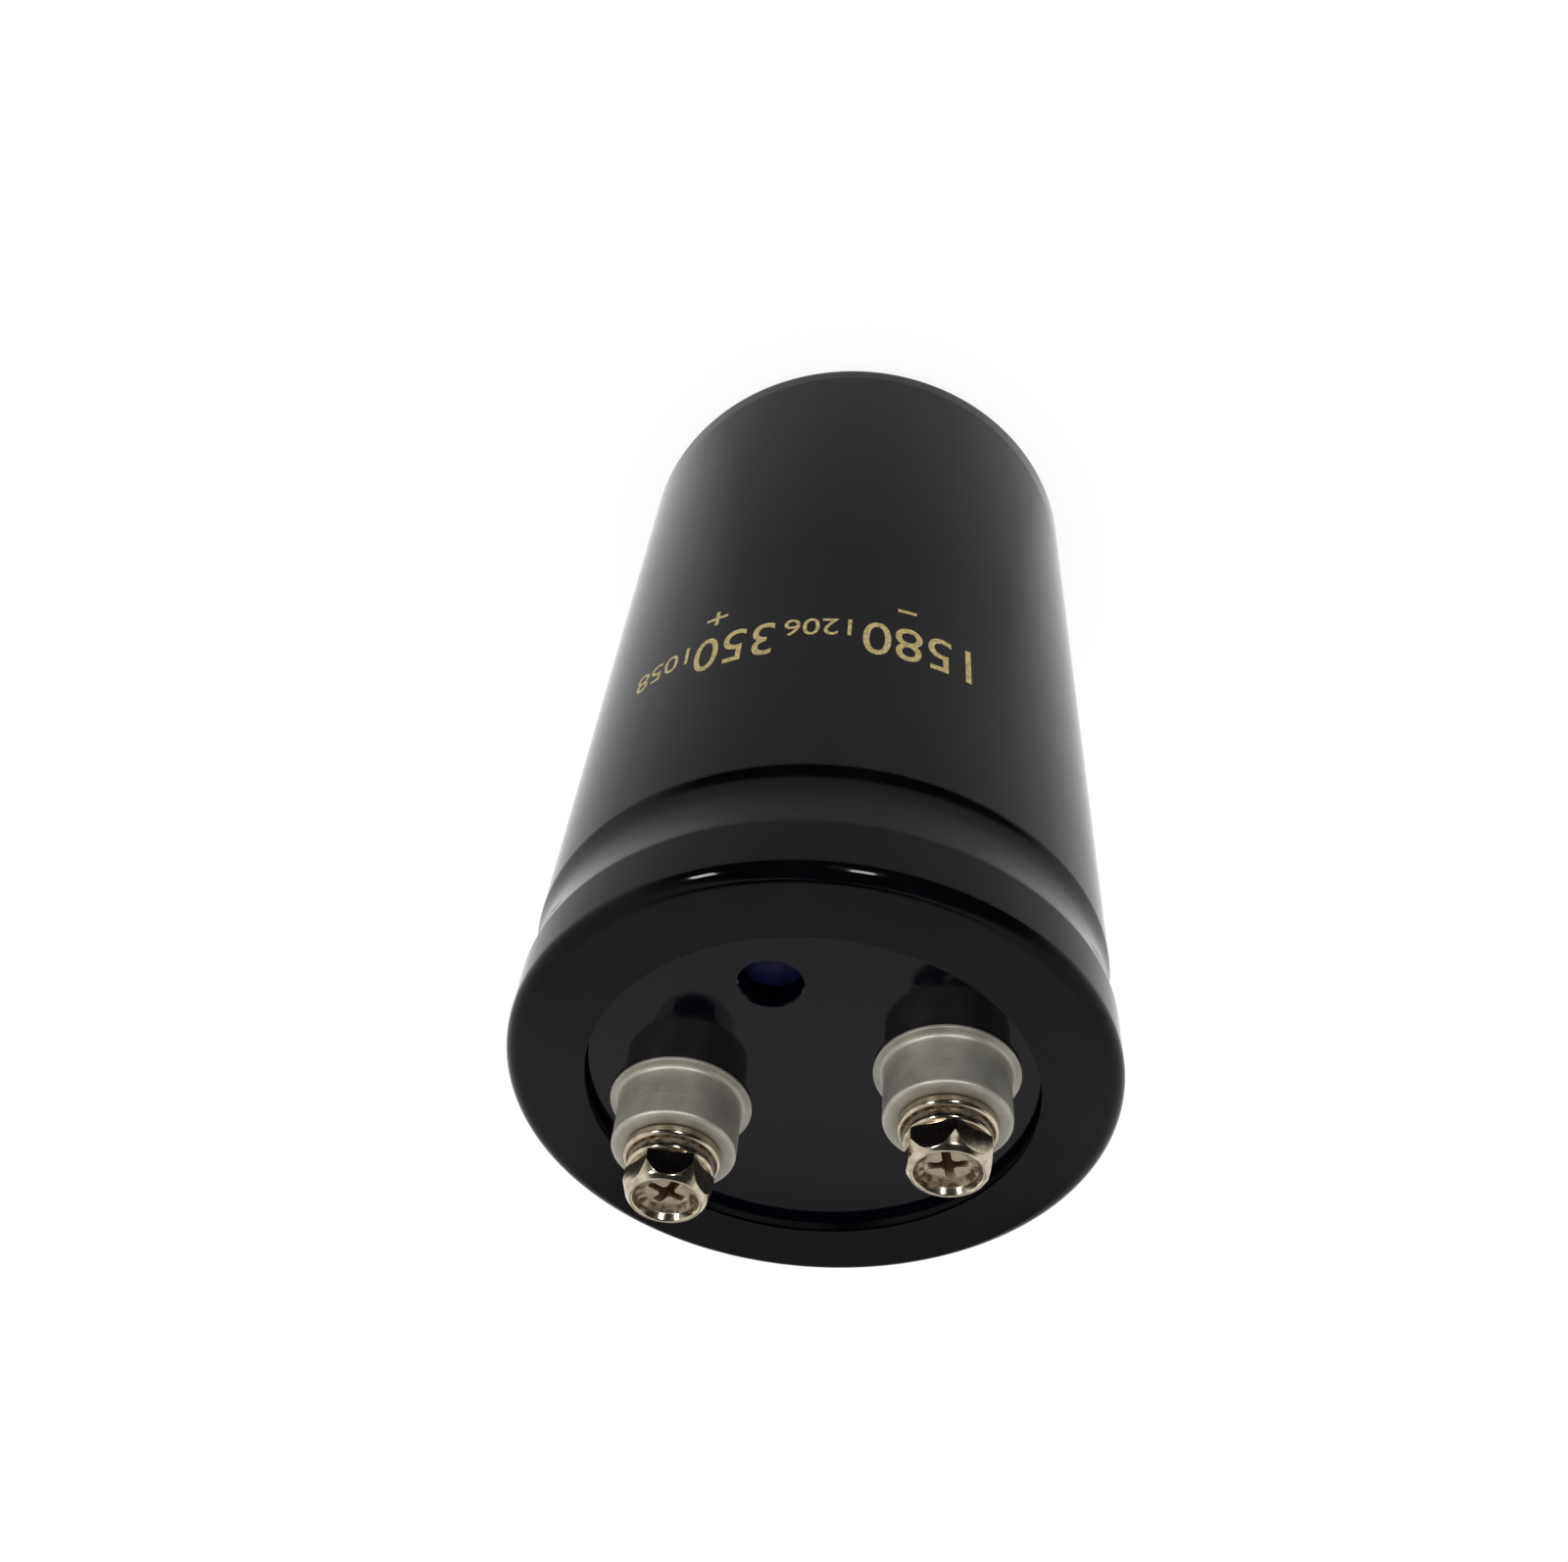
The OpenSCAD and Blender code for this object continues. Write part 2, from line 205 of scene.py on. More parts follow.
DECK_Z, STEM_Z = 107.05, 99.4
VENT_Y, PLUG_R, PLUG_STEM_R, PLUG_EDGE = -16.0, 3.15, 1.7, 0.12
PLUG_SEAT_Z, PLUG_TOP_Z, PLUG_DOME = 103.05, 104.85, 0.35
across = np.linspace(1, 0, 13)
dome = np.stack([(PLUG_R - PLUG_EDGE) * across, PLUG_TOP_Z - PLUG_DOME * across ** 2], axis=-1)
plug_side = fillet(
    [[0, STEM_Z], [PLUG_STEM_R, STEM_Z], [PLUG_STEM_R, PLUG_SEAT_Z], [PLUG_R, PLUG_SEAT_Z],
     [PLUG_R, PLUG_TOP_Z - PLUG_DOME], dome[1]], [0.3, 0.1, 0.15, 0.18])
plug = cover("vent_plug_moulded", turned(np.vstack([plug_side, dome[2:]]), 0, VENT_Y, 96))

# Plug rubber: blue-black with a soft sheen, and a bloom that pales it in small patches.
plug_rubber, tree = blank("moulded_plug_rubber")
spot = add(tree, "TexCoord").outputs["Object"]
# Bloom in patches about 1.5 mm across, and a skin grain of about 0.2 mm
bloom = add(tree, "TexNoise", {"Vector": spot, "Scale": 650, "Detail": 3})
pores = add(tree, "TexNoise", {"Vector": spot, "Scale": 5000, "Detail": 2})
shade = add(tree, "ValToRGB", {"Fac": bloom.outputs[0]})
shade.color_ramp.elements[0].position = 0.35
shade.color_ramp.elements[0].color = linear("#0a0a22")
shade.color_ramp.elements[1].position = 0.7
shade.color_ramp.elements[1].color = linear("#131438")
relief = add(tree, "Bump", {"Height": pores.outputs[0], "Strength": 0.25, "Distance": 1e-5})
rubber = add(tree, "BsdfPrincipled", {
    "Base Color": shade.outputs[0], "Roughness": 0.5, "IOR": 1.2, "Normal": relief.outputs[0]})
add(tree, "OutputMaterial", {"Surface": rubber.outputs[0]})
fit(plug, plug_rubber, "vent_plug")


# The terminals: turned from aluminium bar, with a thin flange on the deck, a cove from it
# to the collar that takes the busbar, a grooved stem moulded in and an M5 thread.
TERMINAL_X, STEM_R, STEM_GROOVE = 14.3, 5.0, 0.8
FLANGE_R, FLANGE_T, COVE = 7.55, 0.4, 0.5
COLLAR_R, COLLAR_Z, COLLAR_EDGE, PAINTED_SHADE_W = 6.5, 113.55, 0.45, 2.2
HOLE_R, HOLE_Z, HOLE_MOUTH, HOLE_LEAD = 2.55, 104.05, 0.25, 0.4
PITCH, THREAD_H, THREAD_STEP, RUN_OUT = 0.8, 0.44, 0.1, 0.6


def thread(z, angle, crest_r):
    """Radius of a right-hand thread, in mm: the crest's, less the depth times one less a
    triangle wave that is cut flat at both ends. The wave's phase is the height over the
    pitch less the share of the turn."""
    phase = z / PITCH - angle / (2 * np.pi)
    wave = np.clip(1.25 * np.abs(2 * (phase % 1) - 1) - 0.1, 0, 1)
    return crest_r - THREAD_H * (1 - wave)


def points_of(mesh):
    """The x, y and z of all vertices of the mesh, as three arrays."""
    co = np.empty(len(mesh.vertices) * 3, np.float32)
    mesh.vertices.foreach_get("co", co)
    return co.reshape(-1, 3).T


def soil_and_shade(piece, x, share):
    """Stores the "dirt_and_shade" attribute: the share of brown grime and painted shade at
    each vertex, which a function gives from its radius from the axis at x and its height, in mm."""
    px, py, z = points_of(piece.data) * 1000
    store = piece.data.attributes.new("dirt_and_shade", "FLOAT", "POINT")
    store.data.foreach_set("value", share(np.hypot(px - x, py), z).astype(np.float32))
    return piece


def terminal(name, x):
    """Grid down the stem, out round the flange, up the collar and down the tapped hole.
    The painted shade on the collar's face, brown, grows towards the washers."""
    stem = [[0, STEM_Z], [STEM_R, STEM_Z]]
    for down in (2 / 3, 1 / 3):
        z = DECK_Z - (DECK_Z - STEM_Z) * down - STEM_GROOVE / 2
        stem += [[STEM_R, z], [STEM_R - STEM_GROOVE, z + STEM_GROOVE / 4],
                 [STEM_R - STEM_GROOVE, z + STEM_GROOVE * 3 / 4], [STEM_R, z + STEM_GROOVE]]
    outside = stem + [
        [STEM_R, DECK_Z], [FLANGE_R, DECK_Z], [FLANGE_R, DECK_Z + FLANGE_T],
        [COLLAR_R, DECK_Z + FLANGE_T], [COLLAR_R, COLLAR_Z],
        [HOLE_R + HOLE_MOUTH, COLLAR_Z], [HOLE_R, COLLAR_Z - HOLE_MOUTH],
        [HOLE_R, COLLAR_Z - HOLE_LEAD]]
    # The stem's foot, the corners of its two grooves, the flange, the collar and the mouth
    radii = [0.3] + [0.08] * 8 + [0.05, 0.1, 0.08, COVE, COLLAR_EDGE, 0.08, 0.08]
    body = turned(fillet(outside, radii), x)
    a = np.linspace(0, 2 * np.pi, body.shape[1], endpoint=False)
    z = np.arange(COLLAR_Z - 0.5, HOLE_Z + 0.3, -THREAD_STEP)[:, None]
    fade = np.clip(np.minimum(COLLAR_Z - HOLE_LEAD - z, z - HOLE_Z) / RUN_OUT, 0, 1)
    r = HOLE_R + (thread(z, a, HOLE_R) - HOLE_R) * fade
    hole = np.stack([x + r * np.cos(a), r * np.sin(a), z + 0 * a], axis=-1)
    end = turned(np.array([[HOLE_R, HOLE_Z + HOLE_MOUTH], [HOLE_R - 0.3, HOLE_Z], [0, HOLE_Z]]), x)

    def share(r, z):
        return np.clip((COLLAR_R - COLLAR_EDGE - r) / PAINTED_SHADE_W, 0, 1) * (z > COLLAR_Z - 0.1)
    return soil_and_shade(cover(name, np.concatenate([body, hole, end])), x, share)


# Turned aluminium, tumbled: satin grey, with rings left by the tool and a grey bloom of
# fine dents. The rings are 0.3 mm apart, wider than the tool's feed, so that they show.
turned_aluminium, tree = blank("turned_aluminium")
spot = add(tree, "TexCoord")
length = add(tree, "SeparateXYZ", {"Vector": spot.outputs["UV"]}).outputs["Y"]
feed = add(tree, "TexNoise", {"W": length, "Scale": 3300, "Detail": 1}, noise_dimensions="1D")
# Tumbling dents about 0.3 mm across and stains about 3 mm across
dents = add(tree, "TexNoise", {"Vector": spot.outputs["Object"], "Scale": 3000, "Detail": 3})
stain = add(tree, "TexNoise", {"Vector": spot.outputs["Object"], "Scale": 350, "Detail": 2})
shade = add(tree, "ValToRGB", {"Fac": stain.outputs[0]})
shade.color_ramp.elements[0].position = 0.3
shade.color_ramp.elements[0].color = linear("#a29f97")
shade.color_ramp.elements[1].position = 0.7
shade.color_ramp.elements[1].color = linear("#bab6ac")
# Brown painted shade towards the washers, which the "dirt_and_shade" attribute brings in. A
# colour Mix has its share on socket 0 and its colours on sockets 6 and 7.
dirt_and_shade = add(tree, "Attribute", attribute_name="dirt_and_shade").outputs["Fac"]
tint = add(tree, "Mix", {0: dirt_and_shade, 6: shade.outputs[0], 7: linear("#5f5138")}, data_type="RGBA")
satin = add(tree, "MapRange", {"Value": dents.outputs[0], "To Min": 0.5, "To Max": 0.62})
rings = add(tree, "Bump", {"Height": feed.outputs[0], "Strength": 0.35, "Distance": 3e-5})
relief = add(tree, "Bump", {
    "Height": dents.outputs[0], "Strength": 0.3, "Distance": 2e-5, "Normal": rings.outputs[0]})
metal = add(tree, "BsdfPrincipled", {
    "Base Color": tint.outputs[2], "Metallic": 0.88,
    "Roughness": satin.outputs[0], "Normal": relief.outputs[0]})
add(tree, "OutputMaterial", {"Surface": metal.outputs[0]})
for pole, x in (("positive", TERMINAL_X), ("negative", -TERMINAL_X)):
    fit(terminal("terminal_" + pole + "_turned", x), turned_aluminium,
        "terminal_" + pole)


# The washers: a flat one punched from sheet, its edge rolled by the punch, and a split
# spring washer coiled from square wire, which the screw has pressed flat on it.
WASHER_HOLE_R, FLAT_R, FLAT_T, FLAT_EDGE = 2.65, 5.0, 1.2, 0.35
SPRING_R, SPRING_T, SPLIT_W, SPLIT_AT, SPLIT_LEAN = 4.45, 1.3, 0.6, 60, 30
SPRING_Z = COLLAR_Z + FLAT_T
HEAD_Z = SPRING_Z + SPRING_T


def flat_washer(name, x):
    """Grid of the washer's section carried once round its axis. Painted shade, brown, lies
    along the foot of its edge and under the spring washer."""
    low, high, mid = COLLAR_Z, COLLAR_Z + FLAT_T, (WASHER_HOLE_R + FLAT_R) / 2
    section = fillet(
        [[mid, low], [FLAT_R, low], [FLAT_R, high], [WASHER_HOLE_R, high],
         [WASHER_HOLE_R, low], [mid, low]], [FLAT_EDGE, FLAT_EDGE, 0.12, 0.05])

    def share(r, z):
        foot = np.clip(1 - (z - low) / 0.2, 0, 0.9)
        return foot + 0.8 * (z > high - 0.05) * (r < SPRING_R + 0.25)
    return soil_and_shade(cover(name, turned(section[:-1], x, steps=128), loop=True), x, share)


def spring_washer(name, x):
    """Grid of the wire's section carried round the axis, from one side of the split to the
    other. At each height the split's middle lies the height times the tangent of its lean
    back along the turn. A last row at the wire's centre closes each end. Painted shade,
    brown, lies along the washer's foot."""
    low, high = SPRING_Z, SPRING_Z + SPRING_T
    mid_r, mid_z = (WASHER_HOLE_R + SPRING_R) / 2, (low + high) / 2
    section = fillet(
        [[mid_r, low], [SPRING_R, low], [SPRING_R, high], [WASHER_HOLE_R, high],
         [WASHER_HOLE_R, low], [mid_r, low]], [0.18, 0.28, 0.12, 0.12], steps=4)[:-1]
    part = np.concatenate([[0], np.linspace(0, 1, 121), [1]])[:, None]
    shrink = np.ones_like(part)
    shrink[[0, -1]] = 0
    r = mid_r + (section[:, 0] - mid_r) * shrink
    z = mid_z + (section[:, 1] - mid_z) * shrink
    middle = -(z - mid_z) * np.tan(np.radians(SPLIT_LEAN))
    half = SPLIT_W / 2 / np.cos(np.radians(SPLIT_LEAN))
    start, end = np.arcsin((middle + half) / r), 2 * np.pi + np.arcsin((middle - half) / r)
    a = np.radians(SPLIT_AT) + start + (end - start) * part
    washer = cover(name, np.stack([x + r * np.cos(a), r * np.sin(a), z], axis=-1), crease=40)

    def share(r, z):
        return np.clip(1 - (z - low) / 0.4, 0, 0.9)
    return soil_and_shade(washer, x, share)


# Nickel plate on steel: bright and warm, with the soft waves of the metal under it and
# pin-head dull spots. It mirrors the black deck, so its upright faces look dark.
nickel_plate, tree = blank("nickel_plated_steel")
spot = add(tree, "TexCoord").outputs["Object"]
# Waves about 0.8 mm across and dull spots about 0.15 mm across
ripple = add(tree, "TexNoise", {"Vector": spot, "Scale": 1200, "Detail": 1})
spots = add(tree, "TexNoise", {"Vector": spot, "Scale": 6500, "Detail": 2})
shade = add(tree, "ValToRGB", {"Fac": ripple.outputs[0]})
shade.color_ramp.elements[0].position = 0.3
shade.color_ramp.elements[0].color = linear("#a79b86")
shade.color_ramp.elements[1].position = 0.7
shade.color_ramp.elements[1].color = linear("#cdc3b1")
bright = add(tree, "MapRange", {"Value": spots.outputs[0], "To Min": 0.1, "To Max": 0.17})
relief = add(tree, "Bump", {"Height": ripple.outputs[0], "Strength": 0.22, "Distance": 3e-5})
# Brown oil and grime, with painted shade, in blotches as wide as the waves, which the
# "dirt_and_shade" attribute brings into the cross and the joints
dirt_and_shade = add(tree, "Attribute", attribute_name="dirt_and_shade").outputs["Fac"]
blotch = add(tree, "MapRange", {
    "Value": ripple.outputs[0], "From Min": 0.35, "From Max": 0.65, "To Min": 0.4, "To Max": 1.7})
dirt_and_shade = add(tree, "Math", {0: dirt_and_shade, 1: blotch.outputs[0]}, operation="MULTIPLY",
           use_clamp=True).outputs[0]
tint = add(tree, "Mix", {0: dirt_and_shade, 6: shade.outputs[0], 7: linear("#4a3013")}, data_type="RGBA")
bright = add(tree, "MapRange", {"Value": dirt_and_shade, "To Min": bright.outputs[0], "To Max": 0.6})
plated = add(tree, "MapRange", {"Value": dirt_and_shade, "To Min": 1.0, "To Max": 0.3})
metal = add(tree, "BsdfPrincipled", {
    "Base Color": tint.outputs[2], "Metallic": plated.outputs[0],
    "Roughness": bright.outputs[0], "Normal": relief.outputs[0]})
add(tree, "OutputMaterial", {"Surface": metal.outputs[0]})
for pole, x in (("positive", TERMINAL_X), ("negative", -TERMINAL_X)):
    fit(flat_washer("flat_washer_" + pole + "_punched", x), nickel_plate,
        "flat_washer_" + pole)
    fit(spring_washer("spring_washer_" + pole + "_coiled", x), nickel_plate,
        "spring_washer_" + pole)


# The screws: M5, cold headed. The die leaves a hexagon whose corners round off into a
# cone, a raised rim round a dished top, and a cross recess. The thread is rolled.
SCREW_R, SCREW_LEN, TIP_H, TIP_IN = 2.5, 10.0, 0.7, 0.6
AF, HEAD_H, CORNER_H, CORNER_ROUND, RIM = 8.0, 3.3, 1.3, 0.22, 0.5
SHOULDER_R, FACE_R, DISH = 4.12, 3.72, 1.1
DISH_R = FACE_R - RIM * 2 / 3
# The dish's hollow wall, as the way in from its edge and the share of its depth
DISH_WALL = ((0.3, 0.68), (0.62, 0.95), (0.9, 1.0))
# Radii of the roundings from under the head to the dish's floor
HEAD_FILLETS = [0.1, 0.25, 0.9, 0.2, 0.2, 0.4, 0.4]
CROSS_SPAN, CROSS_W, CROSS_H = 4.1, 0.85, 1.8
# Radii of the rings on the dish's floor and in the cross
CROSS_RINGS = [2.45, CROSS_SPAN / 2, 2.05, 1.85, 1.6, 1.35, 1.15, 1.0, 0.86, 0.76, 0.705,
               0.6, 0.5, 0.25, 0.0]
# Points round the head: those of each corner's arc and of each flat
ARC_STEPS, FLAT_STEPS = 9, 11
HEAD_STEPS = 6 * (ARC_STEPS + FLAT_STEPS)


def hexagon(turn):
    """Angle and radius of the HEAD_STEPS points round a hexagon. A corner's arc spans 60
    degrees, with its centre the rounding's radius in from both flats. The points of the
    flat after it lie on a straight line to the next arc, closer together at its ends."""
    inner = AF / 2 - CORNER_ROUND
    bend = np.radians(np.linspace(-30, 30, ARC_STEPS))
    arc = np.stack([inner / np.cos(np.pi / 6) + CORNER_ROUND * np.cos(bend),
                    CORNER_ROUND * np.sin(bend)], axis=-1)
    on = np.radians(60)
    next_corner = np.array([arc[0, 0] * np.cos(on) - arc[0, 1] * np.sin(on),
                            arc[0, 0] * np.sin(on) + arc[0, 1] * np.cos(on)])
    t = np.concatenate([[0.03], np.linspace(0.1, 0.9, FLAT_STEPS - 2), [0.97]])[:, None]
    side = np.vstack([arc, arc[-1] + (next_corner - arc[-1]) * t])
    a = np.arctan2(side[:, 1], side[:, 0]) + on * np.arange(6)[:, None]
    return np.radians(turn) + a.ravel(), np.tile(np.hypot(*side.T), 6)


def cross_rows(radii, turn):
    """Angle and depth of the cross recess on rings of the given radii. Round each arm, a
    ring has points on the slot's floor, four up its wall and the rest on the land. The
    wall is at the angle whose sine is half the slot's width over the radius. The floor
    rises in a straight line from the tip to the arm's end, as a cone does."""
    # The columns start a little before an arm's middle, near the hexagon's first point
    column, per_arm = np.arange(HEAD_STEPS) + 11, HEAD_STEPS // 4
    quarter, place = column // per_arm, column % per_arm - per_arm // 2
    v, side = np.abs(place), np.sign(place)
    r = np.asarray(radii, float)[:, None]
    wall = np.arcsin(np.clip(CROSS_W / 2 / np.maximum(r, 1e-6), 0, np.sin(np.pi / 4)))
    soft = np.minimum(0.04 / np.maximum(r, 0.2), np.pi / 4 - wall)
    a = np.where(v <= 5, (wall - soft) * v / 5, wall + soft * (v - 7) / 2)
    a = np.where(v > 9, wall + soft + (np.pi / 4 - wall - soft) * (v - 9) / 6, a)
    rise = np.interp(v, [5, 6, 7, 8, 9], [1, 0.94, 0.5, 0.06, 0]) + 0 * r
    rise = np.where(r < CROSS_W / np.sqrt(2), 1, rise)
    floor = CROSS_H * np.clip((CROSS_SPAN / 2 - r) / (CROSS_SPAN - CROSS_W) * 2, 0, 1)
    land = CROSS_H * np.clip((CROSS_W - r) / (CROSS_W / 2), 0, 1)
    return np.radians(turn) + quarter * np.pi / 2 + side * a, np.maximum(floor * rise, land)


def screw(name, x, turn, cross_turn):
    """Grid up the threaded shank, out under the head, up its side to the height at which
    the cone meets the hexagon there, over the rim, down the dish and into the cross. Brown
    grime and painted shade fill the cross, and lie along the foot of the dish's wall and
    thinly on its floor."""
    a, radius = hexagon(turn)
    up = np.concatenate([np.arange(0, SCREW_LEN - 0.3, THREAD_STEP), [SCREW_LEN]])
    z = up[:, None] - SCREW_LEN
    tip = np.clip(1 - (z + SCREW_LEN) / TIP_H, 0, 1) * TIP_IN
    r = np.minimum(thread(HEAD_Z + z, a, SCREW_R), SCREW_R - tip)
    r[-1] = SCREW_R
    shank = np.stack([r * np.cos(a), r * np.sin(a), z + 0 * a], axis=-1)

    corner_r, rim_z = AF / 2 / np.cos(np.pi / 6), HEAD_H - RIM

    def cone_r(height):
        return np.interp(height, [CORNER_H, rim_z, HEAD_H], [corner_r, SHOULDER_R, FACE_R])
    edge_z = np.interp(-radius, [-corner_r, -SHOULDER_R, -FACE_R], [CORNER_H, rim_z, HEAD_H])
    over_z = np.maximum(rim_z, edge_z + 0.12)
    level = np.ones_like(radius)
    corners = [(SCREW_R * level, 0 * level), (radius, 0 * level), (radius, edge_z),
               (np.minimum(cone_r(over_z), radius), over_z),
               (FACE_R * level, HEAD_H * level), (DISH_R * level, HEAD_H * level)]
    corners += [((DISH_R - way_in) * level, (HEAD_H - DISH * down) * level)
                for way_in, down in DISH_WALL]
    path = fillet(np.array(corners).transpose(2, 0, 1), HEAD_FILLETS)
    r, z = path[..., 0].T, path[..., 1].T
    head = np.stack([r * np.cos(a), r * np.sin(a), z], axis=-1)

    rings = np.array(CROSS_RINGS)
    cross_a, depth = cross_rows(rings, turn + cross_turn)
    blend = np.clip((rings[:, None] - CROSS_SPAN / 2) / 0.5, 0, 1)
    ring_a = cross_a + (a - cross_a) * blend
    recess = np.stack([rings[:, None] * np.cos(ring_a), rings[:, None] * np.sin(ring_a),
                       HEAD_H - DISH - depth], axis=-1)
    points = np.concatenate([shank[:1] * [0, 0, 1], shank, head, recess])

    def share(r, z):
        down = HEAD_Z + HEAD_H - DISH - z
        in_cross = np.clip(down / 0.4, 0, 1) * (r < CROSS_SPAN / 2) * (down < CROSS_H + 0.2)
        on_wall = 0.65 * (r > DISH_R - 0.95) * (r < DISH_R) * (down > -0.45)
        on_floor = 0.2 * (r < DISH_R) * (down > -0.05)
        return np.maximum(np.maximum(on_wall, on_floor) * (down < 0.05), 2.5 * in_cross)
    return soil_and_shade(cover(name, points + [x, 0, HEAD_Z], crease=50), x, share)


for pole, x, turn, cross_turn in (("positive", TERMINAL_X, 40, 2),
                                  ("negative", -TERMINAL_X, 10, -14)):
    fit(screw("terminal_screw_" + pole + "_headed", x, turn, cross_turn), nickel_plate,
        "terminal_screw_" + pole)


# The sleeve: black vinyl tube, shrunk on by heat so that it wraps the side, sinks a
# little over the rolled groove and folds in over the rim and under the base.
BODY_R, RIM_R, BODY_H, BASE_EDGE, RIM_EDGE = 31.75, 32.0, 108.4, 2.0, 1.7
SLEEVE_T, HEM_R, RING_R = 0.35, 24.75, 23.6
GROOVE_LOW, GROOVE_HIGH, DEEPEST, DIP = 92.6, 101.4, 0.42, 0.62


def sleeve_side(inset):
    """Profile of one face of the film, the given inset in from the outside: along the hem,
    round the base's edge, up the side and over the rim. Over the groove the radius goes
    in a line from the side's to the rim's, less a bowl: one less the square of the way
    from the deepest point, raised to 1.2, so that it falls steeply and rises slowly."""
    t = np.linspace(0, 1, 61)
    way = np.where(t < DEEPEST, 1 - t / DEEPEST, (t - DEEPEST) / (1 - DEEPEST))
    bowl = np.clip(1 - way ** 2, 0, 1) ** 1.2
    groove_r = BODY_R + (RIM_R - BODY_R) * t - DIP * bowl - inset
    groove = np.stack([groove_r, GROOVE_LOW + (GROOVE_HIGH - GROOVE_LOW) * t], axis=-1)
    base = fillet([[HEM_R, inset], [BODY_R - inset, inset], [BODY_R - inset, GROOVE_LOW - 0.2]],
                  [BASE_EDGE - inset], steps=12)
    rim = fillet([[RIM_R - inset, GROOVE_HIGH + 0.2], [RIM_R - inset, BODY_H - inset],
                  [RING_R, BODY_H - inset]], [RIM_EDGE - inset], steps=14)
    return np.vstack([base, groove, rim])


film = np.vstack([sleeve_side(0), sleeve_side(SLEEVE_T)[::-1]])
sleeve = cover("sleeve_shrunk", turned(film, steps=256), loop=True)

# Heat-shrunk vinyl: deep black and glossy, with slow ripples from the shrinking film
# and a fine orange peel. Its shine grows to near white where the eye skims it.
shrunk_vinyl, tree = blank("heat_shrunk_vinyl")
spot = add(tree, "TexCoord").outputs["Object"]
# Ripples about 12 mm across, orange peel about 1 mm across, and haze about 5 mm across
slow = add(tree, "TexNoise", {"Vector": spot, "Scale": 85, "Detail": 1})
peel = add(tree, "TexNoise", {"Vector": spot, "Scale": 1000, "Detail": 2})
haze = add(tree, "TexNoise", {"Vector": spot, "Scale": 200, "Detail": 3})
gloss = add(tree, "MapRange", {"Value": haze.outputs[0], "To Min": 0.05, "To Max": 0.11})
ripples = add(tree, "Bump", {"Height": slow.outputs[0], "Strength": 0.5, "Distance": 6e-5})
relief = add(tree, "Bump", {
    "Height": peel.outputs[0], "Strength": 0.1, "Distance": 5e-6, "Normal": ripples.outputs[0]})
shade = add(tree, "ValToRGB", {"Fac": haze.outputs[0]})
shade.color_ramp.elements[0].position = 0.3
shade.color_ramp.elements[0].color = linear("#030306")
shade.color_ramp.elements[1].position = 0.7
shade.color_ramp.elements[1].color = linear("#07070b")
plastic = add(tree, "BsdfPrincipled", {
    "Base Color": shade.outputs[0], "Roughness": gloss.outputs[0], "IOR": 1.19,
    "Normal": relief.outputs[0]})
add(tree, "OutputMaterial", {"Surface": plastic.outputs[0]})
fit(sleeve, shrunk_vinyl, "sleeve")


# The print: plain numbers and polarity marks in pale gold ink, screen printed round the
# side. The thin layer of ink follows the curve of the sleeve.
INK_T, BEND = 0.02, 0.4
# Words, height, width, azimuth and height above the base
PRINT = (
    ("1580", 6.2, 12.7, -121.8, 66.8), ("1206", 3.2, 7.5, -101.2, 66.8),
    ("350", 6.2, 9.6, -83.8, 66.8), ("1058", 3.2, 7.9, -66.2, 66.8),
    ("+", 2.7, 2.7, -79.0, 61.6), ("-", 0.55, 2.2, -119.2, 63.2),
)


def printed(words, height, width, azimuth, low):
    """Flat mesh of the words, scaled to the height and the width, in mm, and cut across at
    every BEND so that it can bend. Its middle goes to the azimuth on the side, so that x
    becomes the angle x / radius, y the height above the base, and the radius is that of
    the side plus the ink's thickness."""
    curve = bpy.data.curves.new("ink", "FONT")
    curve.body = words
    curve.align_x = "CENTER"
    curve.resolution_u = 6
    text = bpy.data.objects.new("ink", curve)
    bpy.context.scene.collection.objects.link(text)
    bpy.context.view_layer.update()
    flat = bpy.data.meshes.new_from_object(
        text.evaluated_get(bpy.context.evaluated_depsgraph_get()))
    bpy.data.objects.remove(text)
    x, y, z = points_of(flat)
    x = (x - (x.max() + x.min()) / 2) * (width / np.ptp(x))
    y = (y - y.min()) * (height / np.ptp(y))
    flat.vertices.foreach_set("co", np.stack([x, y, z], axis=-1).ravel())
    sheet = bmesh.new()
    sheet.from_mesh(flat)
    for cut in np.arange(-8, 8, BEND):
        bmesh.ops.bisect_plane(
            sheet, geom=sheet.verts[:] + sheet.edges[:] + sheet.faces[:], dist=1e-5,
            plane_co=(cut, 0, 0), plane_no=(1, 0, 0))
    bmesh.ops.remove_doubles(sheet, verts=sheet.verts, dist=1e-3)
    sheet.to_mesh(flat)
    sheet.free()
    x, y, z = points_of(flat)
    r, a = BODY_R + INK_T, np.radians(azimuth) + x / BODY_R
    wrapped = np.stack([r * np.cos(a), r * np.sin(a), low + y], axis=-1) / 1000
    flat.vertices.foreach_set("co", wrapped.astype(np.float32).ravel())
    return flat


ink_sheets = [printed(*item) for item in PRINT]
layer = bmesh.new()
for sheet in ink_sheets:
    layer.from_mesh(sheet)
ink_mesh = bpy.data.meshes.new("printed_marks")
layer.to_mesh(ink_mesh)
layer.free()
ink = bpy.data.objects.new("printed_marks", ink_mesh)
bpy.context.scene.collection.objects.link(ink)
wet = ink.modifiers.new("ink_thickness", "SOLIDIFY")
wet.thickness = 2 * INK_T / 1000
wet.offset = -1

# Gold screen ink: pale and matt, a little thin in places where the mesh left it open.
gold_ink, tree = blank("screen_printed_gold_ink")
spot = add(tree, "TexCoord").outputs["Object"]
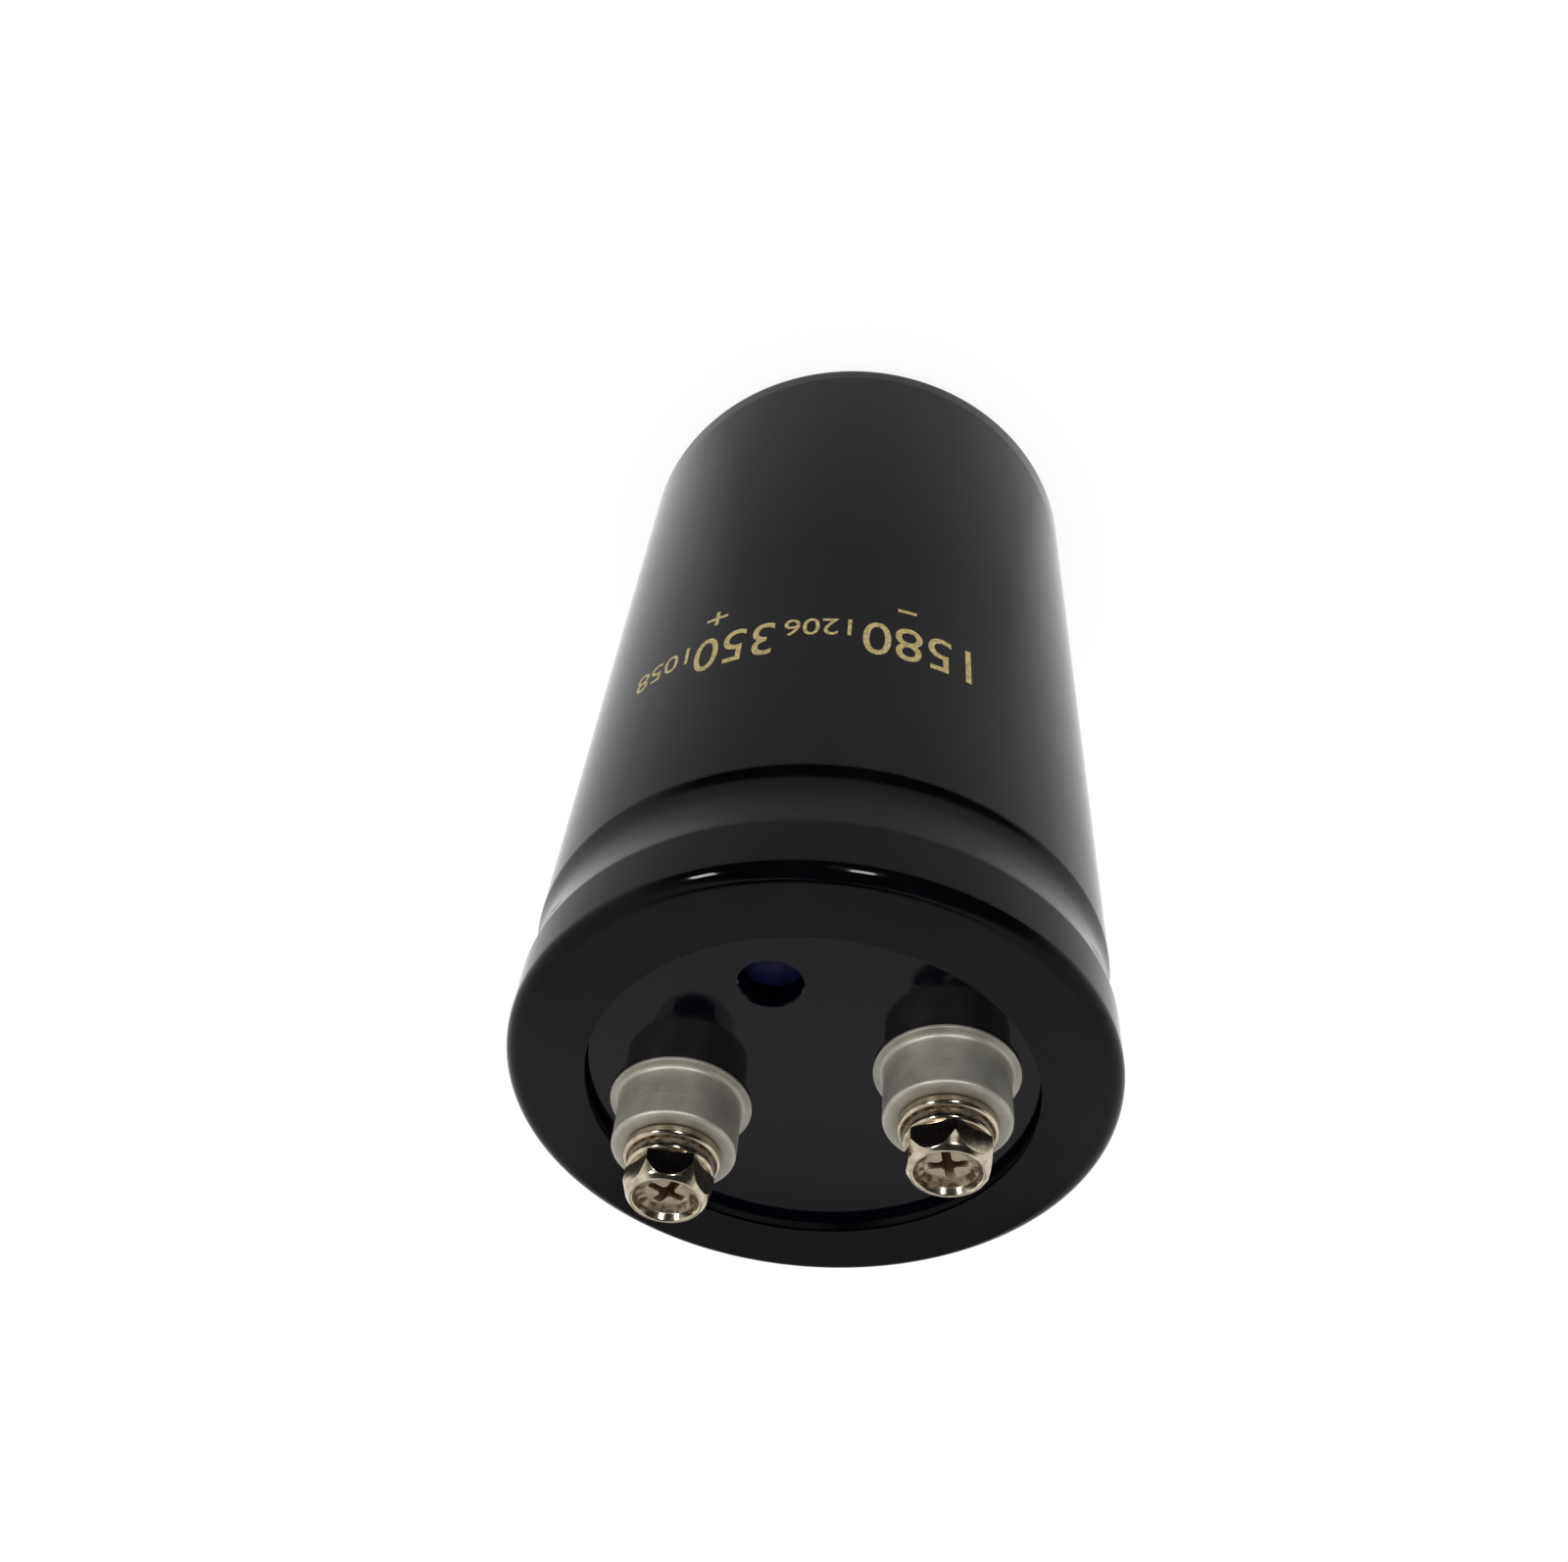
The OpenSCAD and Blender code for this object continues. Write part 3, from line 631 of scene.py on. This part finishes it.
# Cover uneven at about 0.4 mm
thin = add(tree, "TexNoise", {"Vector": spot, "Scale": 2500, "Detail": 3})
shade = add(tree, "ValToRGB", {"Fac": thin.outputs[0]})
shade.color_ramp.elements[0].position = 0.3
shade.color_ramp.elements[0].color = linear("#8d7d48")
shade.color_ramp.elements[1].position = 0.6
shade.color_ramp.elements[1].color = linear("#cdbb7c")
paste = add(tree, "BsdfPrincipled", {"Base Color": shade.outputs[0], "Roughness": 0.45, "IOR": 1.4})
add(tree, "OutputMaterial", {"Surface": paste.outputs[0]})
paint(ink, gold_ink)
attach(ink, "root")


# The camera, over the vent's side and turned almost upside down, as the photograph was
# taken. It looks straight down, is rolled about its view, is then tilted up towards the
# far side, and is turned about the upright axis. Millimetres and degrees.
CAMERA_AT, ROLL, TILT, TURN = (-36.638, -117.803, 206.325), -173.051, 39.693, -20.391
view = bpy.data.cameras.new("photo_view")
view.sensor_width, view.lens = 36, 34.226
view.clip_start, view.clip_end = 0.01, 20
camera = bpy.data.objects.new("photo_view", view)
camera.matrix_world = (
    Matrix.Translation(np.array(CAMERA_AT) / 1000) @ Matrix.Rotation(np.radians(TURN), 4, "Z")
    @ Matrix.Rotation(np.radians(TILT), 4, "X") @ Matrix.Rotation(np.radians(ROLL), 4, "Z"))
bpy.context.scene.collection.objects.link(camera)
bpy.context.scene.camera = camera


# The studio: a white floor that keeps a faint shadow, an even white world, a large soft
# lamp over the camera, and two small bright lamps behind it that give the glints. A dim
# one under the left one shows in the corner of a screw's head.
FLOOR, AIM_Z = 6.0, 0.105
floor_mesh = bpy.data.meshes.new("floor")
floor_mesh.from_pydata(
    [(-FLOOR, -FLOOR, 0), (FLOOR, -FLOOR, 0), (FLOOR, FLOOR, 0), (-FLOOR, FLOOR, 0)],
    [], [(0, 1, 2, 3)])
floor = bpy.data.objects.new("floor", floor_mesh)
floor.location.z = -0.0002
bpy.context.scene.collection.objects.link(floor)


def seen_direct(tree):
    """Socket that is 1 for rays from the eye, off gloss and through glass, and otherwise 0."""
    path = add(tree, "LightPath").outputs
    seen = add(tree, "Math", {0: path["Is Camera Ray"], 1: path["Is Glossy Ray"]},
               operation="ADD").outputs[0]
    return add(tree, "Math", {0: seen, 1: path["Is Transmission Ray"]},
               operation="ADD", use_clamp=True).outputs[0]


# White paper: the eye, metal and gloss see most of it as plain white, and the rest of it
# is lit by the lamps, which leaves the object's shadow on it.
white_paper, tree = blank("white_paper")
lit = add(tree, "BsdfDiffuse", {"Color": (0.8, 0.8, 0.8, 1)})
part_lit = add(tree, "BsdfDiffuse", {"Color": (0.25, 0.25, 0.25, 1)})
glow = add(tree, "Emission", {"Color": (1, 1, 1, 1), "Strength": 0.84})
pale = add(tree, "AddShader", {0: part_lit.outputs[0], 1: glow.outputs[0]})
paper = add(tree, "MixShader", {0: seen_direct(tree), 1: lit.outputs[0], 2: pale.outputs[0]})
add(tree, "OutputMaterial", {"Surface": paper.outputs[0]})
paint(floor, white_paper)

world = bpy.data.worlds.new("studio")
world.use_nodes = True
tree = world.node_tree
tree.nodes.clear()
room = add(tree, "Background", {"Color": (1, 1, 1, 1), "Strength": 0.75})
white = add(tree, "Background", {"Color": (1, 1, 1, 1), "Strength": 1.0})
sky = add(tree, "MixShader", {0: seen_direct(tree), 1: room.outputs[0], 2: white.outputs[0]})
add(tree, "OutputWorld", {"Surface": sky.outputs[0]})
bpy.context.scene.world = world


def lamp(name, azimuth, elevation, distance, width, height, radiance, mirrored):
    """A square-cornered lamp at that azimuth and elevation from the can's top, facing it.
    Its power is its radiance times pi times its area. Metres and degrees. A mirrored
    lamp shows in polished things alone, and one that isn't lights the matt ones alone."""
    light = bpy.data.lights.new(name, "AREA")
    light.shape = "RECTANGLE"
    light.size, light.size_y = width, height
    light.energy = radiance * np.pi * width * height
    a, e = np.radians([azimuth, elevation])
    way = np.array([np.cos(a) * np.cos(e), np.sin(a) * np.cos(e), np.sin(e)])
    side = np.array([-np.sin(a), np.cos(a), 0])
    place = way * distance + [0, 0, AIM_Z]
    matrix = np.eye(4)
    matrix[:3] = np.column_stack([side, np.cross(way, side), way, place])
    made = bpy.data.objects.new(name, light)
    made.matrix_world = Matrix(matrix.tolist())
    made.visible_camera = False
    made.visible_glossy = mirrored
    made.visible_diffuse = not mirrored
    bpy.context.scene.collection.objects.link(made)


# Azimuth, elevation, distance, width, height, radiance and whether it is mirrored
lamp("soft_box", -100, 62, 1.2, 0.8, 0.8, 1.0, False)
lamp("small_lamp_right", -67, 15, 1.3, 0.17, 0.34, 50, True)
lamp("small_lamp_left", -118, 15, 1.3, 0.17, 0.3, 50, True)
lamp("dim_lamp", -116, 4, 1.3, 0.42, 0.22, 1.0, True)


# Dark cloths, which only polished things see. One lies in front on the floor, rises
# behind the camera and hangs over it, and near the can its darkness is painted shadow. The
# other hangs low on the far side.
CLOTH_R, CLOTH_Z, SIDE_FADE = 1.4, 0.001, 0.35
# Distance on the floor and darkness. Near the can the darkness is a painted shadow: the can's own
# soft shade on the floor, as polished things see it.
ON_FLOOR = ((0.033, 0.42), (0.062, 0.4), (0.09, 0.1), (0.17, 0), (0.185, 0.3), (0.2, 1),
            (0.5, 1), (1.4, 1))


def hanging(rise):
    """Points (distance, height) of a cloth that hangs CLOTH_R from the can's top, at those
    elevations: CLOTH_R times their cosine, and CLOTH_R times their sine above the top."""
    e = np.radians(rise)
    return np.stack([CLOTH_R * np.cos(e), CLOTH_R * np.sin(e) + AIM_Z], axis=-1)


def cloth(name, azimuth, half_width, path, shade, light):
    """A sheet that carries a path of (distance, height) points round the upright axis, as
    far as half_width to both sides of the azimuth. Each point has its share of darkness,
    which fades out over the SIDE_FADE of the way to each side, and light is the radiance
    where the share is one."""
    side = np.linspace(-1, 1, 41)
    a = np.radians(azimuth + half_width * side)
    reach, z = np.asarray(path, float).T[..., None]
    points = np.stack([reach * np.cos(a), reach * np.sin(a), z + 0 * a], axis=-1)
    dark = np.asarray(shade, float)[:, None] * np.clip((1 - np.abs(side)) / SIDE_FADE, 0, 1)
    index = np.arange(points.shape[0] * len(side)).reshape(-1, len(side))
    cell = np.stack([index[:-1, :-1], index[:-1, 1:], index[1:, 1:], index[1:, :-1]], axis=-1)
    mesh = bpy.data.meshes.new(name)
    mesh.from_pydata(points.reshape(-1, 3).tolist(), [], cell.reshape(-1, 4).tolist())
    store = mesh.attributes.new("shade", "FLOAT", "POINT")
    store.data.foreach_set("value", (dark ** 2 * (3 - 2 * dark)).astype(np.float32).ravel())
    sheet = bpy.data.objects.new(name, mesh)
    bpy.context.scene.collection.objects.link(sheet)
    sheet.visible_camera = sheet.visible_diffuse = sheet.visible_shadow = False
    made, tree = blank(name)
    fade = add(tree, "Attribute", attribute_name="shade")
    dim = add(tree, "MapRange", {"Value": fade.outputs["Fac"], "To Min": 1.0, "To Max": light})
    glow = add(tree, "Emission", {"Color": (1, 1, 1, 1), "Strength": dim.outputs[0]})
    add(tree, "OutputMaterial", {"Surface": glow.outputs[0]})
    paint(sheet, made)


rise = np.linspace(0, 124, 42)
front = np.vstack([[[reach, CLOTH_Z] for reach, _ in ON_FLOOR], hanging(rise)])
dark = np.concatenate([[share for _, share in ON_FLOOR], np.clip((124 - rise) / 16, 0, 1)])
cloth("front_cloth_and_painted_shadow", -117, 80, front, dark, 0.03)
rise = np.linspace(0, 40, 14)
cloth("back_cloth", 74, 16, hanging(rise), np.clip((40 - rise) / 8, 0, 1), 0.3)

bpy.context.scene.view_settings.view_transform = "Standard"
